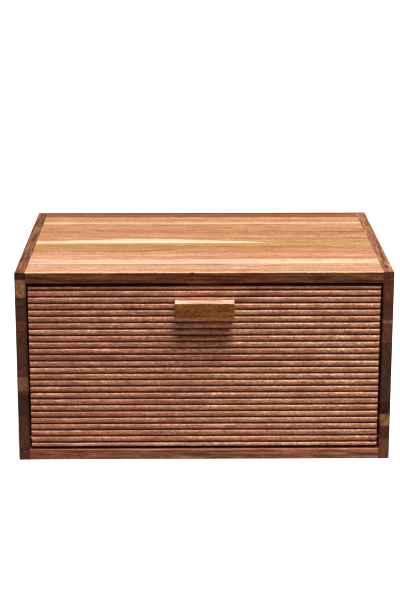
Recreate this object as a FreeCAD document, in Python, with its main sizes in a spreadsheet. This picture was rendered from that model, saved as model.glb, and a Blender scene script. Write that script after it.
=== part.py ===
import FreeCAD, Part
import os
import Sketcher
from FreeCAD import Vector

# Bread bin of edge-glued boards with an inset, ribbed door that drops forward on two steel pins.
# Millimetres. The origin is the centre of the footprint, on the surface the bin stands on;
# +Z is up, the door faces -Y and +X is to the right of a person who faces the door.

SIZES = {
    # carcass
    "overall_width": 350,
    "overall_depth": 230,
    "overall_height": 184,
    "side_thickness": 10,
    "deck_thickness": 10.2,
    "edge_easing": 0.7,
    "inner_easing": 0.4,
    # back panel, held in a groove round all four boards
    "back_thickness": 5,
    "back_inset": 6,
    "back_groove": 4,
    "back_play": 0.1,
    # dowels between the decks and the sides
    "dowel_diameter": 5,
    "dowel_in_side": 7,
    "dowel_in_deck": 17,
    "dowel_play": 0.1,
    "dowel_bevel": 0.8,
    "dowel_spacing": 80,
    "dowels_per_joint": 3,
    # door
    "door_recess": 1.2,
    "door_thickness": 9,
    "door_side_gap": 2,
    "door_bottom_gap": 2.8,
    "door_top_gap": 3.8,
    "first_groove": 4,
    "rib_pitch": 6.235,
    "rib_grooves": 25,
    "rib_groove_width": 1.1,
    "rib_groove_depth": 2.1,
    "rib_shoulder": 2,
    "door_easing": 0.6,
    # pivot pins
    "pivot_setback": 6.4,
    "pivot_lift": 10.2,
    "pin_diameter": 3,
    "pin_in_side": 7,
    "pin_in_door": 11.5,
    "pin_play": 0.05,
    "pin_end_room": 0.5,
    "pin_bevel": 0.4,
    # handle and its screws
    "handle_width": 55,
    "handle_height": 15.4,
    "handle_depth": 10.8,
    "handle_below_top": 20.5,
    "handle_easing": 0.7,
    "handle_screw_spacing": 30,
    "handle_screw_length": 16,
    "handle_screw_shank": 3,
    "handle_screw_head": 6,
    "handle_screw_head_height": 1.8,
    "handle_screw_sink": 2,
    # magnetic catch under the top
    "catch_width": 30,
    "catch_depth": 13,
    "catch_height": 11,
    "catch_floor": 0.8,
    "catch_easing": 0.7,
    "catch_slot_width": 18.4,
    "catch_slot_height": 5.8,
    "catch_slot_depth": 9,
    "catch_gap": 0.55,
    "pole_width": 18,
    "pole_thickness": 1,
    "pole_length": 9.2,
    "magnet_width": 17,
    "magnet_height": 3.6,
    "magnet_length": 8,
    "catch_screw_spacing": 24,
    "catch_screw_length": 13.2,
    "catch_screw_shank": 2.4,
    "catch_screw_head": 4.4,
    "catch_screw_head_height": 1.6,
    "catch_screw_sink": 5,
    # strike plate on the door
    "strike_width": 30,
    "strike_height": 12,
    "strike_thickness": 1.2,
    "strike_below_top": 0.8,
    "strike_corner": 1.5,
    "strike_screw_spacing": 23,
    "strike_screw_length": 6.5,
    "strike_screw_shank": 2.2,
    "strike_screw_head": 4.4,
    "strike_screw_head_height": 1.1,
    # fits and recesses shared by all the screws
    "screw_play": 0.05,
    "screw_clearance": 0.2,
    "pilot_room": 0.5,
    "recess_arm": 0.35,
    "recess_depth": 0.9,
    # shares of a screw head's radius or height
    "recess_reach": 0.55,
    "pan_crown": 0.7,
    "pan_shoulder": 0.45,
}

doc = FreeCAD.newDocument("bread_bin")

sheet = doc.addObject("Spreadsheet::Sheet", "Sizes")
for row, (alias, size) in enumerate(SIZES.items(), start=1):
    sheet.set(f"A{row}", alias)
    sheet.set(f"B{row}", str(size))
    sheet.setAlias(f"B{row}", alias)
doc.recompute()

# Formulas that several pieces share, in the words of the sheet.
INNER_X = "(Sizes.overall_width / 2 - Sizes.side_thickness)"
FRONT_Y = "(-Sizes.overall_depth / 2)"
CREST_Y = f"({FRONT_Y} + Sizes.door_recess)"
DOOR_BACK_Y = f"({CREST_Y} + Sizes.door_thickness)"
PIVOT_Y = f"({FRONT_Y} + Sizes.pivot_setback)"
PIVOT_Z = "(Sizes.deck_thickness + Sizes.pivot_lift)"
BACK_GROOVE_Y = (
    "(Sizes.overall_depth / 2 - Sizes.back_inset - Sizes.back_thickness / 2 - Sizes.back_play)"
)
BACK_GROOVE_WIDTH = "(Sizes.back_thickness + 2 * Sizes.back_play)"
TOP_UNDERSIDE_Z = "(Sizes.overall_height - Sizes.deck_thickness)"
INNER_HEIGHT = "(Sizes.overall_height - 2 * Sizes.deck_thickness)"
DOOR_X = f"({INNER_X} - Sizes.door_side_gap)"
DOOR_BOTTOM_Z = "(Sizes.deck_thickness + Sizes.door_bottom_gap)"
DOOR_TOP_Z = f"({TOP_UNDERSIDE_Z} - Sizes.door_top_gap)"
FIRST_DOWEL_Y = "(-(Sizes.dowels_per_joint - 1) / 2 * Sizes.dowel_spacing)"
DOWEL_ROW_LENGTH = "((Sizes.dowels_per_joint - 1) * Sizes.dowel_spacing)"
HANDLE_Z = f"({DOOR_TOP_Z} - Sizes.handle_below_top)"
HANDLE_SCREW_HEAD_Y = f"({DOOR_BACK_Y} - Sizes.handle_screw_sink + Sizes.handle_screw_head_height)"
STRIKE_Z = f"({DOOR_TOP_Z} - Sizes.strike_below_top - Sizes.strike_height / 2)"
STRIKE_FACE_Y = f"({DOOR_BACK_Y} + Sizes.strike_thickness)"
CATCH_FRONT_Y = f"({STRIKE_FACE_Y} + Sizes.catch_gap)"
CATCH_Y = f"({CATCH_FRONT_Y} + Sizes.catch_depth / 2)"
CATCH_BOTTOM_Z = f"({TOP_UNDERSIDE_Z} - Sizes.catch_height)"
CATCH_SLOT_Z = f"({CATCH_BOTTOM_Z} + Sizes.catch_floor + Sizes.catch_slot_height / 2)"
CATCH_SCREW_SEAT_Z = f"({CATCH_BOTTOM_Z} + Sizes.catch_screw_sink)"
POLE_TIP_Y = f"({STRIKE_FACE_Y} + Sizes.screw_play)"

# Tolerances: the least volume that a pocket has to take away, how close two places are to count
# as the same, and the length over which an edge runs along a board rather than across it.
SMALLEST_CUT = 0.01
SAME_PLACE = 1e-4
LONG_EDGE = 100


def value(formula):
    """The number that a formula gives with the sheet's sizes."""
    return float(sheet.evalExpression(formula))


def new_body(name):
    body = doc.addObject("PartDesign::Body", name)
    body.Label = name
    return body


def origin_feature(body, role):
    return next(item for item in body.Origin.OriginFeatures if item.Role == role)


def new_sketch(body, name, role, x="0", y="0", z="0"):
    """A sketch parallel to an origin plane, with its own origin at (x, y, z)."""
    sketch = body.newObject("Sketcher::SketchObject", name)
    sketch.AttachmentSupport = [(origin_feature(body, role), "")]
    sketch.MapMode = "FlatFace"
    right, up, out = {
        "XY_Plane": (x, y, z),
        "XZ_Plane": (x, z, f"-({y})"),
        "YZ_Plane": (y, z, x),
    }[role]
    sketch.setExpression("AttachmentOffset.Base.x", right)
    sketch.setExpression("AttachmentOffset.Base.y", up)
    sketch.setExpression("AttachmentOffset.Base.z", out)
    return sketch


def hold_point(sketch, geometry, point, x, y):
    """Hold a point of a sketch at (x, y), both formulas."""
    for kind, formula in (("DistanceX", x), ("DistanceY", y)):
        rule = Sketcher.Constraint(kind, -1, 1, geometry, point, value(formula))
        index = sketch.addConstraint(rule)
        sketch.setExpression(f"Constraints[{index}]", formula)


def polygon(sketch, corners):
    """A closed outline of straight lines through corners, each a pair of formulas."""
    points = [Vector(value(x), value(y), 0) for x, y in corners]
    first = sketch.GeometryCount
    for start, end in zip(points, points[1:] + points[:1]):
        sketch.addGeometry(Part.LineSegment(start, end), False)
    for number, (x, y) in enumerate(corners):
        line = first + number
        following = first + (number + 1) % len(corners)
        sketch.addConstraint(Sketcher.Constraint("Coincident", line, 2, following, 1))
        hold_point(sketch, line, 1, x, y)


def rectangle(sketch, width, height):
    """A rectangle centred on the sketch's origin."""
    left, right = f"-({width}) / 2", f"({width}) / 2"
    low, high = f"-({height}) / 2", f"({height}) / 2"
    polygon(sketch, [(left, low), (right, low), (right, high), (left, high)])


def circle(sketch, diameter, x="0", y="0"):
    centre = Vector(value(x), value(y), 0)
    ring = sketch.addGeometry(Part.Circle(centre, Vector(0, 0, 1), value(diameter) / 2), False)
    hold_point(sketch, ring, 3, x, y)
    index = sketch.addConstraint(Sketcher.Constraint("Diameter", ring, value(diameter)))
    sketch.setExpression(f"Constraints[{index}]", diameter)


def pad(body, name, sketch, length, side="One side"):
    feature = body.newObject("PartDesign::Pad", name)
    feature.Profile = sketch
    feature.SideType = side
    feature.setExpression("Length", length)
    return feature


def pocket(body, name, sketch, depth, along_normal=False, side="One side"):
    """Cut a sketch into the body, against the sketch's normal unless along_normal is set."""
    feature = body.newObject("PartDesign::Pocket", name)
    feature.Profile = sketch
    feature.SideType = side
    feature.Reversed = along_normal
    feature.setExpression("Length", depth)
    return feature


def line_up(body, name, originals, role, length, count):
    """Repeat features in a row along an origin axis; length is from first to last."""
    feature = body.newObject("PartDesign::LinearPattern", name)
    feature.Originals = originals
    feature.Direction = (origin_feature(body, role), [""])
    feature.Mode = "Extent"
    feature.setExpression("Length", length)
    feature.setExpression("Occurrences", count)
    body.Tip = feature
    return feature


def ease(body, name, radius, wanted, kind="PartDesign::Fillet"):
    """Round, or bevel, the body's edges for which wanted(edge's box) is true."""
    doc.recompute()
    base = body.Tip
    edges = [
        f"Edge{number}"
        for number, edge in enumerate(base.Shape.Edges, start=1)
        if wanted(edge.BoundBox)
    ]
    feature = body.newObject(kind, name)
    feature.Base = (base, edges)
    feature.setExpression("Radius" if kind.endswith("Fillet") else "Size", radius)
    return feature


def same(first, second):
    return abs(first - second) < SAME_PLACE


def at_x(box, x):
    """True for an edge that lies wholly in the plane at x; at_y and at_z are alike."""
    return same(box.XMin, x) and same(box.XMax, x)


def at_y(box, y):
    return same(box.YMin, y) and same(box.YMax, y)


def at_z(box, z):
    return same(box.ZMin, z) and same(box.ZMax, z)


def is_long(box):
    return box.XLength > LONG_EDGE


def turned(body, name, role, x, y, z, corners, axis="V_Axis"):
    """A turned piece: the half outline of corners, spun about the sketch's own axis."""
    sketch = new_sketch(body, f"{name}_outline", role, x, y, z)
    polygon(sketch, corners)
    feature = body.newObject("PartDesign::Revolution", name)
    feature.Profile = sketch
    feature.ReferenceAxis = (sketch, [axis])
    feature.Angle = 360
    return feature


# ---------------------------------------------------------------- carcass


def make_side_panel(name, sign):
    """One end board: full height and depth, grooved, drilled for dowels and the pivot pin."""
    body = new_body(name)
    inner_face = f"{sign} * {INNER_X}"
    outer_face = f"{sign} * Sizes.overall_width / 2"
    into_board = sign > 0
    low_face = inner_face if sign > 0 else outer_face

    board = new_sketch(body, f"{name}_outline", "YZ_Plane", low_face, "0", "Sizes.overall_height / 2")
    rectangle(board, "Sizes.overall_depth", "Sizes.overall_height")
    pad(body, f"{name}_board", board, "Sizes.side_thickness")

    groove = new_sketch(body, f"{name}_groove_outline", "YZ_Plane", inner_face, BACK_GROOVE_Y,
                        "Sizes.overall_height / 2")
    rectangle(groove, BACK_GROOVE_WIDTH, f"{INNER_HEIGHT} + 2 * Sizes.back_groove")
    pocket(body, f"{name}_back_groove", groove, "Sizes.back_groove", into_board)

    pin = new_sketch(body, f"{name}_pin_outline", "YZ_Plane", inner_face, PIVOT_Y, PIVOT_Z)
    circle(pin, "Sizes.pin_diameter + 2 * Sizes.pin_play")
    pocket(body, f"{name}_pin_bore", pin, "Sizes.pin_in_side + Sizes.pin_end_room", into_board)

    dowels = new_sketch(body, f"{name}_dowel_outline", "YZ_Plane", inner_face, FIRST_DOWEL_Y)
    for height in ("Sizes.deck_thickness / 2", "Sizes.overall_height - Sizes.deck_thickness / 2"):
        circle(dowels, "Sizes.dowel_diameter + 2 * Sizes.dowel_play", "0", height)
    first = pocket(body, f"{name}_first_dowel_holes", dowels,
                   "Sizes.dowel_in_side + Sizes.dowel_play", into_board)
    line_up(body, f"{name}_dowel_holes", [first], "Y_Axis", DOWEL_ROW_LENGTH,
            "Sizes.dowels_per_joint")

    outer_x = value(outer_face)
    inner_x = value(inner_face)
    front_y = value(FRONT_Y)
    ease(body, f"{name}_outer_easing", "Sizes.edge_easing", lambda box: at_x(box, outer_x))
    ease(body, f"{name}_inner_easing", "Sizes.inner_easing",
         lambda box: at_x(box, inner_x) and (at_y(box, front_y) or at_y(box, -front_y)))


def make_deck(name, low_face, inner_face, groove_direction):
    """The top or bottom board, between the sides, drilled in its ends for the dowels."""
    body = new_body(name)
    middle = f"{low_face} + Sizes.deck_thickness / 2"

    board = new_sketch(body, f"{name}_outline", "XY_Plane", z=low_face)
    rectangle(board, f"2 * {INNER_X}", "Sizes.overall_depth")
    pad(body, f"{name}_board", board, "Sizes.deck_thickness")

    groove = new_sketch(body, f"{name}_groove_outline", "XY_Plane", "0", BACK_GROOVE_Y, inner_face)
    rectangle(groove, f"2 * {INNER_X}", BACK_GROOVE_WIDTH)
    pocket(body, f"{name}_back_groove", groove, "Sizes.back_groove", groove_direction)

    ends = []
    for side, sign in (("left", -1), ("right", 1)):
        dowel = new_sketch(body, f"{name}_{side}_dowel_outline", "YZ_Plane", f"{sign} * {INNER_X}",
                           FIRST_DOWEL_Y, middle)
        circle(dowel, "Sizes.dowel_diameter + 2 * Sizes.dowel_play")
        ends.append(pocket(body, f"{name}_{side}_first_dowel_hole", dowel,
                           "Sizes.dowel_in_deck + Sizes.dowel_play", sign < 0))
    line_up(body, f"{name}_dowel_holes", ends, "Y_Axis", DOWEL_ROW_LENGTH, "Sizes.dowels_per_joint")

    front_y = value(FRONT_Y)
    ease(body, f"{name}_easing", "Sizes.edge_easing",
         lambda box: (at_y(box, front_y) or at_y(box, -front_y)) and is_long(box))
    return body


def make_top_panel():
    body = make_deck("top_panel", TOP_UNDERSIDE_Z, TOP_UNDERSIDE_Z, True)
    pilots = new_sketch(body, "catch_pilot_outline", "XY_Plane", "0", CATCH_Y, TOP_UNDERSIDE_Z)
    for sign in (-1, 1):
        circle(pilots, "Sizes.catch_screw_shank + 2 * Sizes.screw_play",
               f"{sign} * Sizes.catch_screw_spacing / 2")
    depth = (
        "Sizes.catch_screw_length - Sizes.catch_screw_head_height"
        " - Sizes.catch_height + Sizes.catch_screw_sink + Sizes.pilot_room"
    )
    pocket(body, "catch_pilot_holes", pilots, depth, True)


def make_bottom_panel():
    make_deck("bottom_panel", "0", "Sizes.deck_thickness", False)


def make_back_panel():
    body = new_body("back_panel")
    face = f"{BACK_GROOVE_Y} + Sizes.back_thickness / 2"
    reach = "2 * (Sizes.back_groove - Sizes.back_play)"
    board = new_sketch(body, "back_outline", "XZ_Plane", "0", face, "Sizes.overall_height / 2")
    rectangle(board, f"2 * {INNER_X} + {reach}", f"{INNER_HEIGHT} + {reach}")
    pad(body, "back_board", board, "Sizes.back_thickness")


def make_dowels(name, height):
    """Bevelled wooden dowels in a row along each end of one deck."""
    body = new_body(name)
    near, far = f"({INNER_X} - Sizes.dowel_in_deck)", f"({INNER_X} + Sizes.dowel_in_side)"
    radius = "Sizes.dowel_diameter / 2"
    shoulder = f"{radius} - Sizes.dowel_bevel"
    rows = []
    for side, sign in (("left", -1), ("right", 1)):
        corners = [
            (f"{sign} * {near}", "0"),
            (f"{sign} * {far}", "0"),
            (f"{sign} * {far}", shoulder),
            (f"{sign} * ({far} - Sizes.dowel_bevel)", radius),
            (f"{sign} * ({near} + Sizes.dowel_bevel)", radius),
            (f"{sign} * {near}", shoulder),
        ]
        rows.append(turned(body, f"{name}_{side}", "XZ_Plane", "0", FIRST_DOWEL_Y, height,
                           corners, "H_Axis"))
    line_up(body, f"{name}_rows", rows, "Y_Axis", DOWEL_ROW_LENGTH, "Sizes.dowels_per_joint")


# ---------------------------------------------------------------- screws


def pan_head(radius, height):
    """The half outline of a pan head, from its crown to its underside."""
    return [
        (f"{radius} * Sizes.pan_crown", "0"),
        (radius, f"{height} * Sizes.pan_shoulder"),
        (radius, height),
    ]


def flat_head(radius, height):
    """The half outline of a countersunk head: its rim, from which a cone runs to the shank."""
    return [(radius, "0")]


def make_screws(name, along, x_spacing, head_y, head_z, size, head_outline):
    """Two cross-recessed wood screws, spaced along X; along is the way their tips point."""
    body = new_body(name)
    shank, head = f"Sizes.{size}_shank / 2", f"Sizes.{size}_head / 2"
    head_height, length = f"Sizes.{size}_head_height", f"Sizes.{size}_length"
    role, recess_role, way = {
        "-Y": ("XY_Plane", "XZ_Plane", -1),
        "+Z": ("XZ_Plane", "XY_Plane", 1),
    }[along]
    half_outline = [
        ("0", "0"),
        *head_outline(head, head_height),
        (shank, head_height),
        (shank, f"{length} - 2 * {shank}"),
        ("0", length),
    ]
    corners = [(across, f"{way} * ({depth})") for across, depth in half_outline]
    first_x = f"-{x_spacing} / 2"
    blank = turned(body, f"{name}_blank", role, first_x, head_y, head_z, corners)

    arm, reach = "Sizes.recess_arm", f"{head} * Sizes.recess_reach"
    cross = [
        (f"-{arm}", f"-{reach}"), (arm, f"-{reach}"), (arm, f"-{arm}"), (reach, f"-{arm}"),
        (reach, arm), (arm, arm), (arm, reach), (f"-{arm}", reach),
        (f"-{arm}", arm), (f"-{reach}", arm), (f"-{reach}", f"-{arm}"), (f"-{arm}", f"-{arm}"),
    ]
    recess = new_sketch(body, f"{name}_recess_outline", recess_role, first_x, head_y, head_z)
    polygon(recess, cross)
    cut = pocket(body, f"{name}_recess", recess, "Sizes.recess_depth", True)
    line_up(body, f"{name}_pair", [blank, cut], "X_Axis", x_spacing, "2")


# ---------------------------------------------------------------- door


def make_door_panel():
    """One board with milled grooves that leave half-round ribs on its front."""
    body = new_body("door_panel")
    middle_z = f"({DOOR_BOTTOM_Z} + {DOOR_TOP_Z}) / 2"

    board = new_sketch(body, "door_outline", "XZ_Plane", "0", DOOR_BACK_Y, middle_z)
    rectangle(board, f"2 * {DOOR_X}", f"{DOOR_TOP_Z} - {DOOR_BOTTOM_Z}")
    pad(body, "door_board", board, "Sizes.door_thickness")

    groove = new_sketch(body, "rib_groove_outline", "XZ_Plane", "0", CREST_Y,
                        f"{DOOR_BOTTOM_Z} + Sizes.first_groove")
    rectangle(groove, f"2 * {DOOR_X} + 2 * Sizes.door_side_gap", "Sizes.rib_groove_width")
    first = pocket(body, "first_rib_groove", groove, "Sizes.rib_groove_depth")
    line_up(body, "rib_grooves", [first], "Z_Axis", "(Sizes.rib_grooves - 1) * Sizes.rib_pitch",
            "Sizes.rib_grooves")

    crest_y, back_y = value(CREST_Y), value(DOOR_BACK_Y)
    low_z, high_z = value(DOOR_BOTTOM_Z), value(DOOR_TOP_Z)

    def is_rim(box):
        return at_z(box, low_z) or at_z(box, high_z)

    ease(body, "rib_shoulders", "Sizes.rib_shoulder",
         lambda box: at_y(box, crest_y) and is_long(box) and not is_rim(box))
    ease(body, "door_front_easing", "Sizes.door_easing",
         lambda box: at_y(box, crest_y) and is_long(box) and is_rim(box))
    ease(body, "door_back_easing", "Sizes.door_easing", lambda box: at_y(box, back_y))

    for side, sign in (("left", -1), ("right", 1)):
        bore = new_sketch(body, f"{side}_pin_outline", "YZ_Plane", f"{sign} * {DOOR_X}",
                          PIVOT_Y, PIVOT_Z)
        circle(bore, "Sizes.pin_diameter")
        pocket(body, f"{side}_pin_bore", bore, "Sizes.pin_in_door + Sizes.pin_end_room", sign < 0)

    def drill_pair(name, height, spacing, diameter, depth):
        """Two holes bored into the back of the door."""
        holes = new_sketch(body, f"{name}_outline", "XZ_Plane", "0", DOOR_BACK_Y, height)
        for sign in (-1, 1):
            circle(holes, diameter, f"{sign} * {spacing} / 2")
        pocket(body, name, holes, depth, True)

    drill_pair("handle_screw_sinks", HANDLE_Z, "Sizes.handle_screw_spacing",
               "Sizes.handle_screw_head + 2 * Sizes.screw_clearance", "Sizes.handle_screw_sink")
    drill_pair("handle_screw_holes", HANDLE_Z, "Sizes.handle_screw_spacing",
               "Sizes.handle_screw_shank + 2 * Sizes.screw_clearance", "Sizes.door_thickness")
    drill_pair("strike_screw_pilots", STRIKE_Z, "Sizes.strike_screw_spacing",
               "Sizes.strike_screw_shank + 2 * Sizes.screw_play",
               "Sizes.strike_screw_length - Sizes.strike_thickness + Sizes.pilot_room")


def make_handle():
    body = new_body("handle")
    bar = new_sketch(body, "handle_outline", "XZ_Plane", "0", CREST_Y, HANDLE_Z)
    rectangle(bar, "Sizes.handle_width", "Sizes.handle_height")
    pad(body, "handle_bar", bar, "Sizes.handle_depth")

    root_y = value(CREST_Y)
    ease(body, "handle_easing", "Sizes.handle_easing", lambda box: not at_y(box, root_y))

    pilots = new_sketch(body, "handle_pilot_outline", "XZ_Plane", "0", CREST_Y, HANDLE_Z)
    for sign in (-1, 1):
        circle(pilots, "Sizes.handle_screw_shank + 2 * Sizes.screw_play",
               f"{sign} * Sizes.handle_screw_spacing / 2")
    depth = (
        "Sizes.handle_screw_length - Sizes.handle_screw_head_height"
        " - Sizes.door_thickness + Sizes.handle_screw_sink + Sizes.pilot_room"
    )
    pocket(body, "handle_pilot_holes", pilots, depth, True)


def make_pivot_pin(name, sign):
    """A steel pin pressed into the end of the door, free to turn in the side board."""
    body = new_body(name)
    far, near = f"({INNER_X} + Sizes.pin_in_side)", f"({DOOR_X} - Sizes.pin_in_door)"
    radius = "Sizes.pin_diameter / 2"
    shoulder = f"{radius} - Sizes.pin_bevel"
    corners = [
        (f"{sign} * {near}", "0"),
        (f"{sign} * {far}", "0"),
        (f"{sign} * {far}", shoulder),
        (f"{sign} * ({far} - Sizes.pin_bevel)", radius),
        (f"{sign} * ({near} + Sizes.pin_bevel)", radius),
        (f"{sign} * {near}", shoulder),
    ]
    turned(body, f"{name}_rod", "XZ_Plane", "0", PIVOT_Y, PIVOT_Z, corners, "H_Axis")


def make_strike_plate():
    body = new_body("strike_plate")
    plate = new_sketch(body, "strike_outline", "XZ_Plane", "0", STRIKE_FACE_Y, STRIKE_Z)
    rectangle(plate, "Sizes.strike_width", "Sizes.strike_height")
    pad(body, "strike_blank", plate, "Sizes.strike_thickness")
    ease(body, "strike_corners", "Sizes.strike_corner",
         lambda box: same(box.YLength, value("Sizes.strike_thickness")))

    holes = new_sketch(body, "strike_hole_outline", "XZ_Plane", "0", STRIKE_FACE_Y, STRIKE_Z)
    for sign in (-1, 1):
        circle(holes, "Sizes.strike_screw_shank + 2 * Sizes.screw_play",
               f"{sign} * Sizes.strike_screw_spacing / 2")
    pocket(body, "strike_holes", holes, "Sizes.strike_thickness", True)

    face_y = value(STRIKE_FACE_Y)
    hole_width = value("Sizes.strike_screw_shank + 2 * Sizes.screw_play")
    ease(body, "strike_countersinks", "(Sizes.strike_screw_head - Sizes.strike_screw_shank) / 2",
         lambda box: at_y(box, face_y) and same(box.XLength, hole_width), "PartDesign::Chamfer")


# ---------------------------------------------------------------- magnetic catch


def make_catch_housing():
    body = new_body("catch_housing")
    block = new_sketch(body, "catch_outline", "XY_Plane", "0", CATCH_Y, CATCH_BOTTOM_Z)
    rectangle(block, "Sizes.catch_width", "Sizes.catch_depth")
    pad(body, "catch_block", block, "Sizes.catch_height")

    top_z = value(TOP_UNDERSIDE_Z)
    ease(body, "catch_easing", "Sizes.catch_easing", lambda box: not at_z(box, top_z))

    slot = new_sketch(body, "catch_slot_outline", "XZ_Plane", "0", CATCH_FRONT_Y, CATCH_SLOT_Z)
    rectangle(slot, "Sizes.catch_slot_width", "Sizes.catch_slot_height")
    pocket(body, "catch_slot", slot, "Sizes.catch_slot_depth")

    def drill_ears(name, diameter, depth):
        """Two holes bored up from underneath, one at each end of the case."""
        holes = new_sketch(body, f"{name}_outline", "XY_Plane", "0", CATCH_Y, CATCH_BOTTOM_Z)
        for sign in (-1, 1):
            circle(holes, diameter, f"{sign} * Sizes.catch_screw_spacing / 2")
        pocket(body, name, holes, depth, True)

    drill_ears("catch_screw_sinks", "Sizes.catch_screw_head + 2 * Sizes.screw_clearance",
               "Sizes.catch_screw_sink")
    drill_ears("catch_screw_holes", "Sizes.catch_screw_shank + 2 * Sizes.screw_clearance",
               "Sizes.catch_height")


def make_catch_block(name, width, length, thickness, tip_y, centre_heights):
    """Flat blocks inside the catch, one at each height."""
    body = new_body(name)
    for number, height in enumerate(centre_heights):
        outline = new_sketch(body, f"{name}_outline_{number}", "XY_Plane", "0",
                             f"{tip_y} + {length} / 2", height)
        rectangle(outline, width, length)
        pad(body, f"{name}_plate_{number}", outline, thickness, "Symmetric")


def make_catch_inner_parts():
    offset = "(Sizes.magnet_height + Sizes.pole_thickness) / 2"
    make_catch_block("catch_magnet", "Sizes.magnet_width", "Sizes.magnet_length",
                     "Sizes.magnet_height", f"{POLE_TIP_Y} + Sizes.pole_thickness", [CATCH_SLOT_Z])
    make_catch_block("catch_pole_plates", "Sizes.pole_width", "Sizes.pole_length",
                     "Sizes.pole_thickness", POLE_TIP_Y,
                     [f"{CATCH_SLOT_Z} - {offset}", f"{CATCH_SLOT_Z} + {offset}"])


# ---------------------------------------------------------------- the whole bin

make_side_panel("left_side_panel", -1)
make_side_panel("right_side_panel", 1)
make_top_panel()
make_bottom_panel()
make_back_panel()
make_dowels("top_dowels", "Sizes.overall_height - Sizes.deck_thickness / 2")
make_dowels("bottom_dowels", "Sizes.deck_thickness / 2")

make_door_panel()
make_handle()
make_screws("handle_screws", "-Y", "Sizes.handle_screw_spacing", HANDLE_SCREW_HEAD_Y, HANDLE_Z,
            "handle_screw", pan_head)
make_pivot_pin("left_pivot_pin", -1)
make_pivot_pin("right_pivot_pin", 1)
make_strike_plate()
make_screws("strike_screws", "-Y", "Sizes.strike_screw_spacing", STRIKE_FACE_Y, STRIKE_Z,
            "strike_screw", flat_head)

make_catch_housing()
make_catch_inner_parts()
make_screws("catch_screws", "+Z", "Sizes.catch_screw_spacing", CATCH_Y,
            f"{CATCH_SCREW_SEAT_Z} - Sizes.catch_screw_head_height", "catch_screw", pan_head)

doc.recompute()

for item in doc.Objects:
    if "Invalid" in item.State or "Error" in item.State:
        raise RuntimeError(f"{item.Label} did not compute: {item.State}")
    if item.TypeId == "PartDesign::Pocket":
        removed = item.BaseFeature.Shape.Volume - item.Shape.Volume
        if removed < SMALLEST_CUT:
            raise RuntimeError(f"{item.Label} cuts nothing")

os.makedirs("parts", exist_ok=True)
for body in doc.findObjects("PartDesign::Body"):
    if body.Shape.isNull() or not body.Shape.isValid():
        raise RuntimeError(f"{body.Label} has no valid shape")
    body.Shape.exportStep(f"parts/{body.Label}.step")
    box = body.Shape.BoundBox
    print(f"{body.Label:18s} solids {len(body.Shape.Solids)}  volume {body.Shape.Volume:10.1f}"
          f"  x {box.XMin:8.2f} {box.XMax:8.2f}  y {box.YMin:8.2f} {box.YMax:8.2f}"
          f"  z {box.ZMin:8.2f} {box.ZMax:8.2f}")
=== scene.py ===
import math
import random

import bpy
from mathutils import Euler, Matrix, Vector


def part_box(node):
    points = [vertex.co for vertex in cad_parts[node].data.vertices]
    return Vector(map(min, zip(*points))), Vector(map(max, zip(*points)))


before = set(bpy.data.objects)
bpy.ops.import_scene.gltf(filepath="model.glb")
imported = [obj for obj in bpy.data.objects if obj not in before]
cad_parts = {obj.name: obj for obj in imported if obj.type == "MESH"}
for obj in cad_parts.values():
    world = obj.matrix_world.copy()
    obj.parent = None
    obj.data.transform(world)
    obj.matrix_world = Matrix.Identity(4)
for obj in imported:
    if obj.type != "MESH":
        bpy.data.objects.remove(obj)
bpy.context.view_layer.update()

# The looks of an oiled hardwood bread bin. Every CAD node keeps its mesh and gets a procedural
# material, worked out in the node's own millimetres, so the grain moves with the piece.

MM = 0.001

# Each plank's noise is moved along by up to PLANK_SHIFT, so that planks differ, and each board has
# SEEDS_APART seeds to itself.
PLANK_SHIFT = 400.0
SEEDS_APART = 100

# The oiled surface: how far in from its edges it is worn, and on the end faces painted with shade instead,
# and how deep its grain is felt, both in millimetres, and how rough it is. A knot is KNOT_LENGTH times as
# long as it is wide.
WEAR_AND_RIM_SHADE_REACH = 1.6
OILED_ROUGHNESS = 0.46
GRAIN_RELIEF = 0.09
KNOT_LENGTH = 2.6

# The directions of a board: along the grain, across its staves and through its thickness.
LYING_BOARD = ("X", "Y", "Z")
STANDING_BOARD = ("X", "Z", "Y")
SIDE_BOARD = ("Y", "Z", "X")


def tone(red, green, blue):
    """A colour named by its 0 to 255 display values, as the linear colour that shaders use."""
    def linear(value):
        share = value / 255
        if share <= 0.04045:
            return share / 12.92
        return ((share + 0.055) / 1.055) ** 2.4
    return (linear(red), linear(green), linear(blue), 1.0)


def grey(level):
    return (level, level, level, 1.0)


# Timber colours, oiled, in full light.
PALE_SAPWOOD = tone(254, 234, 206)
SAPWOOD = tone(247, 221, 194)
CREAM = tone(243, 206, 175)
PINK_TAN = tone(234, 187, 154)
TAN = tone(222, 176, 138)
DUSKY_TAN = tone(214, 164, 126)
OLIVE_TAN = tone(215, 172, 124)
ROSE_TAN = tone(225, 171, 138)
DOOR_TAN = tone(236, 172, 129)
DOOR_ROSE = tone(222, 154, 116)
DOOR_INSIDE = tone(252, 216, 190)
REDDISH = tone(196, 136, 106)
RAIL_BROWN = tone(186, 131, 101)
COPPER = tone(206, 148, 118)
AMBER = tone(250, 196, 144)
DRAB = tone(166, 122, 100)
RUSSET = tone(186, 126, 88)
CHESTNUT = tone(156, 116, 94)
WALNUT = tone(132, 90, 70)
UMBER = tone(136, 106, 92)

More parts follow.
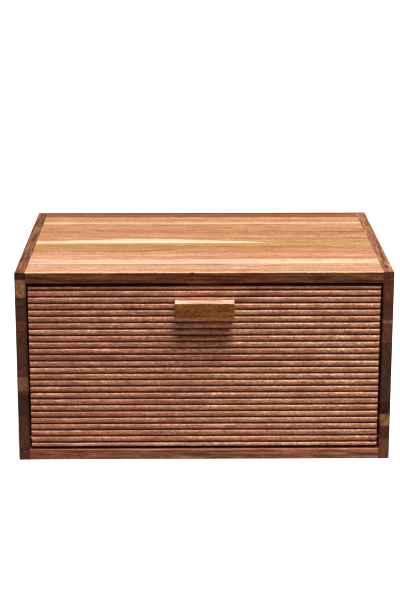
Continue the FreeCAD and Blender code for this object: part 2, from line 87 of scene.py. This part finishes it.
# What multiplies the timber's colour: its grain first, then the edges and ends of the boards.
LATE_WOOD = (0.68, 0.54, 0.46, 1.0)
STREAK = (0.64, 0.48, 0.39, 1.0)
PORE = (0.42, 0.3, 0.24, 1.0)
KNOT = (0.16, 0.08, 0.05, 1.0)
ROSY = (1.02, 0.92, 0.93, 1.0)
GOLDEN = (0.98, 1.02, 0.95, 1.0)
END_GRAIN = (0.64, 0.58, 0.56, 1.0)
EDGE_GRAIN = (0.66, 0.58, 0.54, 1.0)
# Darker edge grain with painted shade over it, for the top's front and back edges.
SHADED_EDGE_GRAIN = (0.36, 0.22, 0.14, 1.0)
LEFT_TOP_EDGE = (1.52, 1.68, 1.76, 1.0)
RIGHT_TOP_EDGE = (1.06, 1.24, 1.68, 1.0)
# Painted shade on the handle's front and ends, over their browner wood.
HANDLE_FRONT_SHADE = (0.53, 0.31, 0.12, 1.0)
# A painted highlight on the handle's lower front edge.
HANDLE_LIP_HIGHLIGHT = (1.28, 1.45, 2.3, 1.0)
GLUE_LINE = (0.6, 0.5, 0.45, 1.0)
WORN = (1.22, 1.2, 1.18, 1.0)
# Painted shade along the rims of the end faces, where their arrises go dark.
RIM_SHADE = (0.3, 0.2, 0.16, 1.0)
GRUBBY = (0.9, 0.88, 0.84, 1.0)
WHITE = grey(1.0)
MIDDLE_GREY = grey(0.5)

# How much of red, green and blue the painted shade in the door's grooves takes away where it lies deepest.
GROOVE_SHADE = (0.7, 2.2, 4.2)

# The powers that green and blue follow as the timber darkens: above 1 it goes redder.
REDDEN = (1.3, 1.6)
REDDEN_DOOR = (1.8, 2.5)


class Graph:
    """One material's node tree. Each method adds nodes and returns their output socket."""

    def __init__(self, name):
        self.material = bpy.data.materials.new(name)
        self.material.use_nodes = True
        self.nodes = self.material.node_tree.nodes
        self.links = self.material.node_tree.links
        self.nodes.clear()

    def node(self, kind, values=None, **settings):
        made = self.nodes.new(kind)
        for setting, value in settings.items():
            setattr(made, setting, value)
        for socket, value in (values or {}).items():
            self.feed(made.inputs[socket], value)
        return made

    def feed(self, socket, value):
        if isinstance(value, bpy.types.NodeSocket):
            self.links.new(value, socket)
        else:
            socket.default_value = value

    def math(self, operation, first, second=0.0, clamp=False):
        values = {0: first, 1: second}
        return self.node("ShaderNodeMath", values, operation=operation, use_clamp=clamp).outputs[0]

    def add(self, first, second):
        return self.math("ADD", first, second)

    def subtract(self, first, second):
        return self.math("SUBTRACT", first, second)

    def times(self, first, second):
        return self.math("MULTIPLY", first, second)

    def both(self, first, second):
        return self.math("MULTIPLY", first, second, clamp=True)

    def either(self, first, second):
        return self.math("MAXIMUM", first, second)

    def inverse(self, value):
        return self.math("SUBTRACT", 1.0, value, clamp=True)

    def ramp_up(self, value, start, end):
        """0 below start, 1 above end, smooth between; end may be the lower one."""
        values = {"Value": value, "From Min": start, "From Max": end}
        made = self.node("ShaderNodeMapRange", values, interpolation_type="SMOOTHSTEP")
        return made.outputs["Result"]

    def rescale(self, value, low, high):
        """Takes a 0 to 1 value to low to high."""
        values = {"Value": value, "To Min": low, "To Max": high}
        return self.node("ShaderNodeMapRange", values).outputs["Result"]

    def vector(self, x, y, z):
        return self.node("ShaderNodeCombineXYZ", {"X": x, "Y": y, "Z": z}).outputs[0]

    def noise(self, place, detail=2.0, roughness=0.5, distortion=0.0):
        values = {
            "Vector": place,
            "Scale": 1.0,
            "Detail": detail,
            "Roughness": roughness,
            "Distortion": distortion,
        }
        return self.node("ShaderNodeTexNoise", values, noise_dimensions="3D").outputs[0]

    def cells(self, place):
        values = {"Vector": place, "Scale": 1.0, "Randomness": 1.0}
        return self.node("ShaderNodeTexVoronoi", values, feature="F1").outputs["Distance"]

    def random(self, value):
        return self.node("ShaderNodeTexWhiteNoise", {"W": value}, noise_dimensions="1D").outputs["Value"]

    def mix(self, factor, first, second, blend_type="MIX"):
        """The first colour where factor is 0, the second where it is 1."""
        values = {0: factor, 6: first, 7: second}
        return self.node("ShaderNodeMix", values, data_type="RGBA", blend_type=blend_type).outputs[2]

    def stain(self, colour, factor, tint):
        """Multiplies a colour by a tint where factor is 1."""
        return self.mix(factor, colour, tint, "MULTIPLY")

    def steps(self, position, stops):
        """A colour for each stretch of position: stops are (where it starts, colour) pairs."""
        made = self.node("ShaderNodeValToRGB", {"Fac": position})
        ramp = made.color_ramp
        ramp.interpolation = "CONSTANT"
        ramp.elements[0].position, ramp.elements[0].color = stops[0]
        ramp.elements.remove(ramp.elements[1])
        for start, colour in stops[1:]:
            ramp.elements.new(start).color = colour
        return made.outputs["Color"]

    def millimetres(self, axes):
        """The object's own coordinates in millimetres, in the order of the axes named."""
        place = self.node("ShaderNodeTexCoord").outputs["Object"]
        apart = self.node("ShaderNodeSeparateXYZ", {"Vector": place})
        return [self.times(apart.outputs[axis], 1 / MM) for axis in axes]

    def scaled(self, *often):
        """A noise position: how many times the noise changes in a millimetre along X, Y and Z."""
        parts = zip(self.millimetres("XYZ"), often)
        return self.vector(*(self.times(part, rate) for part, rate in parts))

    def outward(self, axis):
        """How far the surface faces along the axis named, from -1 to 1."""
        normal = self.node("ShaderNodeTexCoord").outputs["Normal"]
        return self.node("ShaderNodeSeparateXYZ", {"Vector": normal}).outputs[axis]

    def facing(self, axis):
        """1 where the surface faces along the axis named, either way."""
        return self.ramp_up(self.math("ABSOLUTE", self.outward(axis)), 0.6, 0.9)

    def bump(self, height, depth, strength=1.0, normal=None):
        values = {"Height": height, "Distance": depth, "Strength": strength}
        if normal is not None:
            values["Normal"] = normal
        return self.node("ShaderNodeBump", values).outputs[0]

    def surface(self, colour, roughness, normal, **constants):
        """The shader. Constants are the values that are the same all over the surface."""
        shader = self.node("ShaderNodeBsdfPrincipled", {"Base Color": colour, "Roughness": roughness})
        if normal is not None:
            self.links.new(normal, shader.inputs["Normal"])
        for socket, value in constants.items():
            self.feed(shader.inputs[socket.replace("_", " ")], value)
        output = self.node("ShaderNodeOutputMaterial")
        self.links.new(shader.outputs[0], output.inputs["Surface"])
        return self.material


def side_gaps(graph, node, axes):
    """How many millimetres inside the node's box a point lies, along each of the axes named."""
    low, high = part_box(node)
    gaps = []
    for axis, place in zip(axes, graph.millimetres(axes)):
        index = "XYZ".index(axis)
        middle = (low[index] + high[index]) / 2 / MM
        half = (high[index] - low[index]) / 2 / MM
        gaps.append(graph.subtract(half, graph.math("ABSOLUTE", graph.subtract(place, middle))))
    return gaps


def edge_nearness(graph, node, reach):
    """1 on the outer edges of a node's box, falling to 0 at reach millimetres inside them."""
    gaps = side_gaps(graph, node, "XYZ")
    least = graph.math("MINIMUM", gaps[0], graph.math("MINIMUM", gaps[1], gaps[2]))
    most = graph.either(gaps[0], graph.either(gaps[1], gaps[2]))
    total = graph.add(gaps[0], graph.add(gaps[1], gaps[2]))
    second = graph.subtract(graph.subtract(total, least), most)
    return graph.ramp_up(second, reach, 0.0)


def border_distance(graph, node, axes, start, end):
    """0 within start millimetres of the node's outer sides along the axes named, 1 from end on."""
    far_in = 1.0
    for gap in side_gaps(graph, node, axes):
        far_in = graph.both(far_in, graph.ramp_up(gap, start, end))
    return far_in


class Wood:
    """Oiled timber glued up from staves: figure() draws the grain and finished() the surface.

    All places and lengths are in millimetres, in the bin's own frame with the door shut. axes names
    the board's directions; staves are (where it starts, colour, which plank it came from); heart is
    how far the tree's heart lies from the board, sideways and behind: far to the side gives straight
    grain, close behind gives arches; ring is how far apart the rings are.
    """

    def __init__(self, name, node, axes, staves, seed, heart, ring=5.0, redden=REDDEN):
        graph = Graph(name)
        self.graph = graph
        self.node = node
        self.axes = axes
        self.ring = ring
        self.redden = redden
        neighbours = zip(staves, staves[1:])
        self.joints = [edge for (_, _, before), (edge, _, plank) in neighbours if plank != before]
        low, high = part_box(node)
        across_axis = "XYZ".index(axes[1])
        start = low[across_axis] / MM
        span = (high[across_axis] - low[across_axis]) / MM
        self.along, self.across, self.through = graph.millimetres(axes)
        share = graph.math("DIVIDE", graph.subtract(self.across, start), span)
        places = [max(0.0, (edge - start) / span) for edge, _, _ in staves]
        self.colour = graph.steps(share, [(place, stave[1]) for place, stave in zip(places, staves)])
        # Each plank has its own side of the heart, its own distance from it and its own noise.
        cuts = []
        for place, (_, _, plank) in zip(places, staves):
            draw = random.Random(seed * SEEDS_APART + plank)
            side = 0.5 + draw.choice((-0.5, 0.5)) * draw.uniform(0.6, 1.0)
            cuts.append((place, (side, draw.uniform(0.7, 1.0), draw.random(), 1.0)))
        cut = graph.node("ShaderNodeSeparateColor", {0: graph.steps(share, cuts)})
        sideways, behind = heart
        middle = start + span / 2
        heart_across = graph.rescale(cut.outputs[0], middle - sideways, middle + sideways)
        self.from_heart = (
            graph.subtract(self.across, heart_across),
            graph.add(self.through, graph.times(cut.outputs[1], behind)),
        )
        self.shift = graph.times(cut.outputs[2], PLANK_SHIFT)
        self.bends = []
        self.dark_spots = []

    def place(self, along, across, through=None):
        """A noise position: how many times the noise changes in a millimetre each way."""
        graph = self.graph
        return graph.vector(
            graph.add(graph.times(self.along, along), self.shift),
            graph.times(self.across, across),
            graph.times(self.through, across if through is None else through),
        )

    def knot(self, along, across, size, pull, darkness=1.0, through=None):
        """A knot: the rings bend round it and its middle is dark, right through unless placed."""
        graph = self.graph
        sideways = graph.math("DIVIDE", graph.subtract(self.along, along), size * KNOT_LENGTH)
        upwards = graph.math("DIVIDE", graph.subtract(self.across, across), size)
        square = graph.add(graph.times(sideways, sideways), graph.times(upwards, upwards))
        if through is not None:
            inwards = graph.math("DIVIDE", graph.subtract(self.through, through), size)
            square = graph.add(square, graph.times(inwards, inwards))
        self.bends.append(graph.times(graph.math("EXPONENT", graph.times(square, -0.35)), pull))
        core = graph.add(square, graph.times(graph.noise(self.place(0.5, 0.5), 3.0), 1.4))
        self.dark_spots.append(graph.times(graph.ramp_up(core, 1.7, 0.7), darkness))

    def shade(self, pattern, swing):
        """Darkens and lightens the wood by a 0 to 1 pattern: the darker it goes, the redder."""
        graph = self.graph
        level = graph.rescale(pattern, 1.0 - swing, 1.0 + swing)
        green, blue = (graph.math("POWER", level, power) for power in self.redden)
        redder = graph.vector(level, green, blue)
        self.colour = graph.stain(self.colour, 1.0, redder)

    def figure(self, sway=8.0, late=0.7, streaks=0.7, pores=0.6, band_width=7.0, mottle=0.8, calm=0.0):
        """Growth rings, mineral streaks, fibres and pores, laid over the stave colours.

        The mottle is left out where calm is 1.
        """
        graph = self.graph
        drift = graph.times(graph.subtract(graph.noise(self.place(0.007, 0.025), 2.0), 0.5), sway * 2)
        ripple = graph.times(graph.subtract(graph.noise(self.place(0.03, 0.16), 2.0), 0.5), sway / 4)
        aside, behind = self.from_heart
        square = graph.add(graph.times(aside, aside), graph.times(behind, behind))
        taper = graph.times(self.along, 0.02)
        radius = graph.add(graph.math("SQRT", square), taper)
        radius = graph.add(radius, graph.add(drift, ripple))
        for bend in self.bends:
            radius = graph.add(radius, bend)
        phase = graph.math("DIVIDE", radius, self.ring)
        season = graph.math("FRACT", phase)
        year = graph.random(graph.add(graph.math("FLOOR", phase), self.shift))
        summer = graph.both(graph.ramp_up(season, 0.3, 0.92), graph.ramp_up(season, 1.0, 0.94))
        self.rings = graph.both(summer, graph.times(graph.rescale(year, 0.15, 1.0), late))

        self.fibre = graph.noise(self.place(0.02, 1.3), 3.0, 0.65)
        self.fine = graph.noise(self.place(0.12, 4.2), 2.0, 0.6)
        band = graph.noise(self.place(0.003, 1 / band_width), 3.0, 0.6, 0.4)
        thread = graph.noise(self.place(0.008, 3.2 / band_width), 2.0, 0.6)
        streak = graph.both(graph.ramp_up(band, 0.5, 0.72), graph.rescale(thread, 0.4, 1.3))
        vessel = graph.cells(self.place(0.11, 1.7))
        self.vessel = graph.both(graph.ramp_up(vessel, 0.24, 0.08), graph.ramp_up(band, 0.25, 0.6))
        hue = graph.ramp_up(graph.noise(self.place(0.006, 0.11), 3.0, 0.6), 0.38, 0.62)

        self.colour = graph.stain(self.colour, self.rings, LATE_WOOD)
        self.colour = graph.stain(self.colour, graph.times(streak, streaks), STREAK)
        self.colour = graph.stain(self.colour, 1.0, graph.mix(hue, GOLDEN, ROSY))
        self.shade(thread, 0.2)
        self.shade(self.fibre, 0.2)
        self.shade(self.fine, 0.1)
        speckle = graph.noise(self.place(0.45, 1.1), 4.0, 0.7)
        clouds = graph.noise(self.place(0.05, 0.3), 3.0, 0.6)
        self.shade(graph.mix(calm, speckle, MIDDLE_GREY), mottle)
        self.shade(graph.mix(calm, clouds, MIDDLE_GREY), 0.5 * mottle)
        self.colour = graph.stain(self.colour, graph.times(self.vessel, pores), PORE)
        for spot in self.dark_spots:
            self.colour = graph.stain(self.colour, spot, KNOT)

    def glue_lines(self):
        """The thin dark line where the staves of two planks meet."""
        graph = self.graph
        for place in self.joints:
            gap = graph.math("ABSOLUTE", graph.subtract(self.across, place))
            self.colour = graph.stain(self.colour, graph.ramp_up(gap, 0.3, 0.09), GLUE_LINE)

    def finished(
        self, ends=END_GRAIN, edges=EDGE_GRAIN, shaded_rims=0.0, wear=1.0, polish=0.06, gloss=1.5, normal=None,
    ):
        """Darker end and edge grain, painted shade on the rims of the end faces, worn edges and the satin
        of the oil.
        """
        graph = self.graph
        at_end = graph.facing(self.axes[0])
        colour = graph.stain(self.colour, at_end, ends)
        at_edge = graph.facing(self.axes[1])
        colour = graph.stain(colour, at_edge, edges)
        waves = graph.ramp_up(graph.noise(self.place(0.03, 0.5), 4.0, 0.6), 0.3, 0.7)
        depth = graph.rescale(graph.mix(at_edge, MIDDLE_GREY, waves), 0.5, 1.5)
        colour = graph.stain(colour, 1.0, graph.vector(depth, depth, depth))
        patchy = graph.ramp_up(graph.noise(self.place(0.05, 0.3), 3.0), 0.35, 0.65)
        near_edge = edge_nearness(graph, self.node, WEAR_AND_RIM_SHADE_REACH)
        # Painted shade on the end faces within reach of their edges; the wear keeps off it.
        shaded_rim = graph.both(near_edge, at_end)
        colour = graph.stain(colour, graph.times(shaded_rim, shaded_rims), RIM_SHADE)
        worn = graph.both(graph.subtract(near_edge, shaded_rim), patchy)
        colour = graph.stain(colour, graph.times(worn, 0.55 * wear), WORN)
        handled = graph.subtract(graph.noise(self.place(0.012, 0.02), 2.0), 0.5)
        roughness = graph.add(OILED_ROUGHNESS, graph.times(handled, 0.16))
        roughness = graph.add(roughness, graph.times(graph.subtract(self.fibre, 0.5), 0.14))
        roughness = graph.add(roughness, graph.times(at_end, 0.12))
        roughness = graph.subtract(roughness, graph.times(self.rings, 0.05))
        relief = graph.add(graph.times(self.fibre, 0.6), graph.times(self.fine, 0.35))
        relief = graph.subtract(relief, graph.times(self.vessel, 0.9))
        relief = graph.add(relief, graph.times(self.rings, 0.35))
        return graph.surface(
            colour, roughness, graph.bump(relief, GRAIN_RELIEF * MM, 0.9, normal),
            Specular_IOR_Level=0.42, Sheen_Weight=0.04,
            Coat_Weight=polish, Coat_Roughness=0.35, Coat_IOR=gloss,
        )


def sapwood_wedge(wood, edge, colour):
    """A tongue of pale sapwood along one glue line of the top, with a curved outer edge.

    Returns where it lies.
    """
    graph = wood.graph
    tip, full_from = 92.0, 30.0
    bulge_place, bulge_length = -62.0, 66.0
    fade = graph.ramp_up(wood.along, tip, full_from)
    ahead = graph.math("DIVIDE", graph.subtract(wood.along, bulge_place), bulge_length)
    bulge = graph.math("EXPONENT", graph.times(graph.times(ahead, ahead), -1.0))
    wander = graph.times(graph.subtract(graph.noise(wood.place(0.02, 0.1), 3.0), 0.5), 3.0)
    width = graph.add(graph.times(fade, 7.0), graph.add(graph.times(bulge, 9.5), wander))
    above = graph.subtract(wood.across, edge)
    below_curve = graph.ramp_up(graph.subtract(above, width), 0.8, -0.8)
    inside = graph.both(graph.ramp_up(above, -0.1, 0.1), below_curve)
    wedge = graph.both(inside, fade)
    wood.colour = graph.mix(wedge, wood.colour, colour)
    return wedge


def top_wood():
    staves = (
        (-115.0, CREAM, 1),
        (-111.5, PINK_TAN, 1),
        (-86.0, SAPWOOD, 2),
        (-70.6, PINK_TAN, 2),
        (-52.0, ROSE_TAN, 2),
        (-33.4, OLIVE_TAN, 3),
        (-11.2, TAN, 4),
        (19.0, DUSKY_TAN, 4),
        (41.0, TAN, 4),
        (60.0, TAN, 5),
        (64.0, CREAM, 5),
        (72.0, TAN, 5),
        (93.0, RUSSET, 5),
        (108.0, WALNUT, 5),
    )
    wood = Wood("top_wood", "top_panel", LYING_BOARD, staves, 4, heart=(190.0, 60.0), ring=6.5)
    graph = wood.graph
    low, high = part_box("top_panel")
    front, back, upper_face = low[1] / MM, high[1] / MM, high[2] / MM
    pale_joint, _, wedge_joint, _ = wood.joints
    wedge = sapwood_wedge(wood, wedge_joint, PALE_SAPWOOD)
    pale_from = graph.ramp_up(wood.across, pale_joint - 0.2, pale_joint + 0.2)
    pale_to = graph.ramp_up(wood.across, pale_joint + 9.0, pale_joint + 6.0)
    pale_stave = graph.both(pale_from, pale_to)
    wood.knot(-104.0, 38.0, 3.0, 6.0, 0.35)
    wood.knot(116.0, 15.0, 1.3, 3.0, 0.6)
    wood.knot(-11.5, front, 1.5, 3.0, through=upper_face - 0.8)
    wood.figure(sway=6.0, calm=graph.times(graph.either(wedge, pale_stave), 0.7))
    wood.glue_lines()
    back_edge = graph.both(graph.facing("Y"), graph.ramp_up(wood.across, back - 1.0, back - 0.5))
    wood.colour = graph.mix(back_edge, wood.colour, PALE_SAPWOOD)
    # Its front and back edges take darker edge grain together with painted shade.
    return wood.finished(edges=SHADED_EDGE_GRAIN)


def bottom_wood():
    staves = (
        (-115.0, RAIL_BROWN, 1),
        (-78.0, TAN, 2),
        (-32.0, PINK_TAN, 3),
        (14.0, OLIVE_TAN, 4),
        (58.0, TAN, 5),
        (90.0, CHESTNUT, 6),
    )
    wood = Wood("bottom_wood", "bottom_panel", LYING_BOARD, staves, 21, heart=(150.0, 50.0), ring=5.5)
    wood.knot(60.0, -10.0, 2.4, 7.0)
    wood.figure(sway=9.0)
    wood.glue_lines()
    return wood.finished(edges=WHITE, polish=0.4)


def left_side_wood():
    staves = (
        (0.0, DRAB, 1),
        (44.0, UMBER, 2),
        (65.0, DRAB, 3),
        (69.0, TAN, 3),
        (82.0, DRAB, 3),
        (128.0, REDDISH, 5),
        (137.0, CHESTNUT, 5),
        (160.0, AMBER, 6),
        (177.0, WALNUT, 7),
    )
    wood = Wood("left_side_wood", "left_side_panel", SIDE_BOARD, staves, 37, heart=(120.0, 70.0))
    wood.knot(20.0, 104.0, 3.0, 8.0)
    wood.figure(sway=14.0)
    wood.glue_lines()
    return wood.finished(edges=LEFT_TOP_EDGE, shaded_rims=0.8, wear=0.2)


def right_side_wood():
    staves = (
        (0.0, COPPER, 1),
        (20.0, CHESTNUT, 1),
        (33.0, AMBER, 2),
        (45.0, WALNUT, 3),
        (57.0, CHESTNUT, 3),
        (115.0, REDDISH, 4),
        (134.0, PINK_TAN, 4),
        (138.0, DRAB, 5),
        (157.0, REDDISH, 5),
        (172.0, RUSSET, 6),
    )
    wood = Wood("right_side_wood", "right_side_panel", SIDE_BOARD, staves, 52, heart=(120.0, 70.0))
    low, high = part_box("right_side_panel")
    middle, top = (low[0] + high[0]) / 2 / MM, high[2] / MM
    wood.knot(-97.0, top - 0.5, 2.4, 7.0, 0.8, through=middle)
    wood.knot(44.0, 76.0, 3.4, 8.0)
    wood.figure(sway=14.0)
    wood.glue_lines()
    return wood.finished(edges=RIGHT_TOP_EDGE, shaded_rims=0.8, wear=0.2)


def back_wood():
    staves = ((0.0, ROSE_TAN, 1), (62.0, PINK_TAN, 2), (118.0, ROSE_TAN, 3))
    wood = Wood("back_wood", "back_panel", STANDING_BOARD, staves, 64, heart=(60.0, 60.0), ring=8.0)
    wood.figure(sway=16.0, streaks=0.5)
    wood.glue_lines()
    return wood.finished()


def door_wood():
    """The ribbed board: flowing arches, a rosier left end and a short ripple across the grain."""
    staves = ((0.0, DOOR_TAN, 1),)
    wood = Wood(
        "door_wood", "door_panel", STANDING_BOARD, staves, 79, heart=(24.0, 46.0), ring=7.5,
        redden=REDDEN_DOOR,
    )
    graph = wood.graph
    low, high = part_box("door_panel")
    left_end, front, inside = low[0] / MM, low[1] / MM, high[1] / MM
    rosy_end = graph.ramp_up(wood.along, 60.0, left_end)
    wood.colour = graph.mix(graph.times(rosy_end, 0.8), wood.colour, DOOR_ROSE)
    inner_face = graph.ramp_up(wood.through, inside - 1.5, inside - 0.2)
    wood.colour = graph.mix(inner_face, wood.colour, DOOR_INSIDE)
    wood.figure(sway=20.0, late=0.6, streaks=0.85, band_width=9.0, mottle=1.05, calm=inner_face)
    slanted = graph.vector(
        graph.add(graph.times(wood.along, 0.22), graph.times(wood.across, 0.2)),
        graph.times(wood.across, 0.5),
        graph.times(wood.through, 0.5),
    )
    curl = graph.noise(slanted, 3.0, 0.6)
    patches = graph.ramp_up(graph.noise(wood.place(0.012, 0.03), 2.0), 0.36, 0.62)
    curly = graph.times(graph.rescale(patches, 0.4, 1.0), graph.inverse(inner_face))
    wood.shade(graph.mix(curly, MIDDLE_GREY, curl), 0.75)
    wood.shade(graph.noise(wood.place(0.016, 0.17), 2.0), 0.25)
    # Painted shade in the routed grooves, with less of it on their shoulders that face up, where the
    # overhead light falls: the deeper a point lies, the more of each colour the shade takes away.
    behind = graph.subtract(wood.through, front)
    groove_shade = graph.both(graph.ramp_up(behind, 0.4, 1.5), graph.ramp_up(behind, 3.6, 2.6))
    groove_shade = graph.both(groove_shade, border_distance(graph, "door_panel", "XZ", 0.1, 0.7))
    faces_up = graph.ramp_up(graph.outward("Z"), 0.0, 0.7)
    groove_shade = graph.both(groove_shade, graph.rescale(faces_up, 1.0, 0.4))
    shade_layers = [graph.math("EXPONENT", graph.times(groove_shade, -take)) for take in GROOVE_SHADE]
    wood.colour = graph.stain(wood.colour, 1.0, graph.vector(*shade_layers))
    hand_sanded = graph.bump(graph.noise(wood.place(0.13, 0.4), 2.0), 0.5 * MM, 0.7)
    return wood.finished(edges=WHITE, wear=0.6, polish=1.0, gloss=1.7, normal=hand_sanded)


def handle_wood():
    """A front and ends darkened by painted shade over their browner wood, two small knots, and a painted
    highlight along the lower edge of the front.
    """
    staves = ((0.0, SAPWOOD, 1),)
    wood = Wood("handle_wood", "handle", STANDING_BOARD, staves, 93, heart=(30.0, 20.0), ring=3.0)
    graph = wood.graph
    low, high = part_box("handle")
    bottom = low[2] / MM
    middle = (low[2] + high[2]) / 2 / MM
    wood.knot(13.5, middle + 0.3, 0.8, 2.0, 0.6)
    wood.knot(-1.5, middle + 1.5, 0.8, 2.0, 0.3)
    wood.figure(sway=6.0, pores=0.9)
    mottle = graph.noise(wood.place(0.25, 0.7), 3.0, 0.6)
    at_front = graph.facing("Y")
    wood.shade(graph.mix(at_front, MIDDLE_GREY, mottle), 0.8)
    # Painted shade on the front, darker and browner than the pale top.
    wood.colour = graph.stain(wood.colour, at_front, HANDLE_FRONT_SHADE)
    # A painted highlight along the lowest 2 mm of the front.
    lip_highlight = graph.ramp_up(wood.across, bottom + 2.4, bottom + 1.8)
    wood.colour = graph.stain(wood.colour, lip_highlight, HANDLE_LIP_HIGHLIGHT)
    return wood.finished(edges=WHITE, ends=HANDLE_FRONT_SHADE)


def dowel_wood():
    graph = Graph("dowel_wood")
    flute = graph.noise(graph.scaled(0.1, 2.4, 2.4), 3.0)
    colour = graph.mix(flute, tone(206, 170, 128), tone(236, 208, 168))
    roughness = graph.rescale(flute, 0.5, 0.7)
    return graph.surface(colour, roughness, graph.bump(flute, 0.1 * MM))


def catch_plastic():
    """White moulded plastic with a fine spark texture and slightly grubby corners."""
    graph = Graph("catch_plastic")
    spark = graph.noise(graph.scaled(5.0, 5.0, 5.0), 3.0, 0.6)
    cloud = graph.noise(graph.scaled(0.22, 0.22, 0.22), 2.0)
    colour = graph.mix(cloud, tone(238, 236, 230), tone(248, 247, 243))
    corner = edge_nearness(graph, "catch_housing", 1.0)
    colour = graph.stain(colour, graph.times(corner, 0.5), GRUBBY)
    roughness = graph.rescale(spark, 0.36, 0.52)
    return graph.surface(colour, roughness, graph.bump(spark, 0.03 * MM), Specular_IOR_Level=0.5)


def magnet_ferrite():
    graph = Graph("magnet_ferrite")
    grit = graph.noise(graph.scaled(2.6, 2.6, 2.6), 4.0)
    colour = graph.mix(grit, tone(60, 59, 60), tone(104, 102, 100))
    return graph.surface(colour, graph.rescale(grit, 0.5, 0.75), graph.bump(grit, 0.05 * MM), Metallic=0.2)


def plated_steel(name, bright, dull, brushed, low_rough, high_rough, metallic=1.0):
    """Steel or its plating: brushed along X, with a faint mottle and small dull patches."""
    graph = Graph(name)
    lines = graph.noise(graph.scaled(brushed, 7.0, 7.0), 3.0, 0.6)
    mottle = graph.noise(graph.scaled(0.6, 0.6, 0.6), 4.0, 0.6)
    patch = graph.ramp_up(mottle, 0.5, 0.7)
    colour = graph.mix(graph.add(graph.times(lines, 0.6), graph.times(patch, 0.4)), bright, dull)
    roughness = graph.add(graph.rescale(lines, low_rough, high_rough), graph.times(patch, 0.1))
    return graph.surface(colour, roughness, graph.bump(lines, 0.012 * MM), Metallic=metallic)


def dress(material, *nodes):
    for name in nodes:
        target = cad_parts[name]
        target.data.materials.clear()
        target.data.materials.append(material)


def dress_everything():
    """Each node's material, the wooden ones first."""
    dress(top_wood(), "top_panel")
    dress(bottom_wood(), "bottom_panel")
    dress(left_side_wood(), "left_side_panel")
    dress(right_side_wood(), "right_side_panel")
    dress(back_wood(), "back_panel")
    dress(door_wood(), "door_panel")
    dress(handle_wood(), "handle")
    dress(dowel_wood(), "top_dowels", "bottom_dowels")
    dress(catch_plastic(), "catch_housing")
    dress(magnet_ferrite(), "catch_magnet")
    pole = plated_steel("pole_steel", tone(226, 224, 220), tone(168, 166, 164), 0.5, 0.2, 0.34)
    dress(pole, "catch_pole_plates")
    screw = plated_steel("screw_steel", tone(222, 218, 210), tone(160, 156, 150), 2.0, 0.24, 0.4)
    dress(screw, "handle_screws", "catch_screws", "strike_screws")
    pin = plated_steel("pin_steel", tone(172, 156, 142), tone(136, 124, 112), 0.4, 0.3, 0.44)
    dress(pin, "left_pivot_pin", "right_pivot_pin")
    strike = plated_steel("strike_steel", tone(244, 242, 238), tone(214, 212, 208), 0.3, 0.3, 0.44, 0.3)
    dress(strike, "strike_plate")


# The studio: a pale floor, one broad light almost overhead, a faint one from the front and weak
# fill from all round. The camera sees the floor and the backdrop paler than they light the bin.
# Widths and leans are in degrees, and the floor's reach is in metres.
FLOOR_REACH = 9.0
FLOOR_SEEN = 0.96
FLOOR_LIT = 0.32
FLOOR_GLOW = 0.4
BACKDROP = 0.98
KEY_POWER = 2.88
KEY_WIDTH = 32.0
KEY_LEAN_FRONT = 12.0
KEY_LEAN_RIGHT = 8.0
FRONT_POWER = 0.03
FRONT_WIDTH = 50.0
FRONT_LEAN = 84.0
FILL_LIGHT = 0.03


def seen_or_lit(graph, seen, lit):
    """One grey where the camera looks straight at the floor, another for the light it sends on."""
    straight = graph.node("ShaderNodeLightPath").outputs["Is Camera Ray"]
    return graph.mix(straight, grey(lit), grey(seen))


def floor_sheet():
    mesh = bpy.data.meshes.new("studio_floor")
    reach = FLOOR_REACH
    corners = [(-reach, -reach, 0), (reach, -reach, 0), (reach, reach, 0), (-reach, reach, 0)]
    mesh.from_pydata(corners, [], [(0, 1, 2, 3)])
    floor = bpy.data.objects.new("studio_floor", mesh)
    bpy.context.scene.collection.objects.link(floor)
    graph = Graph("studio_paper")
    colour = seen_or_lit(graph, FLOOR_SEEN, FLOOR_LIT)
    glow = seen_or_lit(graph, FLOOR_GLOW, 0.0)
    paper = graph.surface(
        colour, 0.9, None, Specular_IOR_Level=0.0, Emission_Color=glow, Emission_Strength=1.0,
    )
    mesh.materials.append(paper)


def broad_light(name, power, width, lean_front, lean_right):
    lamp = bpy.data.lights.new(name, "SUN")
    lamp.energy = power
    lamp.angle = math.radians(width)
    light = bpy.data.objects.new(name, lamp)
    light.rotation_euler = Euler((math.radians(lean_front), math.radians(lean_right), 0.0))
    bpy.context.scene.collection.objects.link(light)


def fill_light():
    world = bpy.data.worlds.new("studio")
    world.use_nodes = True
    tree = world.node_tree
    background = tree.nodes["Background"]
    path = tree.nodes.new("ShaderNodeLightPath")
    blend = tree.nodes.new("ShaderNodeMix")
    blend.data_type = "RGBA"
    tree.links.new(path.outputs["Is Camera Ray"], blend.inputs[0])
    blend.inputs[6].default_value = grey(FILL_LIGHT)
    blend.inputs[7].default_value = grey(BACKDROP)
    tree.links.new(blend.outputs[2], background.inputs["Color"])
    bpy.context.scene.world = world


# The camera stands in front of the bin, a little to the left and above it, and looks down on it.
CAMERA_PLACE = (-0.016, -1.397, 0.558)
CAMERA_DOWN = 13.4
CAMERA_TURN = -0.53
CAMERA_LENS = 87.12
CAMERA_SENSOR = 36.0
CAMERA_SHIFT = -1 / 6


def photographer():
    lens = bpy.data.cameras.new("photographer")
    lens.lens = CAMERA_LENS
    lens.sensor_width = CAMERA_SENSOR
    lens.shift_y = CAMERA_SHIFT
    view = bpy.data.objects.new("photographer", lens)
    view.location = CAMERA_PLACE
    turn = (math.radians(90.0 - CAMERA_DOWN), 0.0, math.radians(CAMERA_TURN))
    view.rotation_euler = Euler(turn)
    bpy.context.scene.collection.objects.link(view)
    bpy.context.scene.camera = view


dress_everything()
floor_sheet()
broad_light("key", KEY_POWER, KEY_WIDTH, KEY_LEAN_FRONT, KEY_LEAN_RIGHT)
broad_light("front", FRONT_POWER, FRONT_WIDTH, FRONT_LEAN, 0.0)
fill_light()
photographer()
bpy.context.scene.view_settings.view_transform = "Standard"
bpy.context.scene.view_settings.look = "High Contrast"
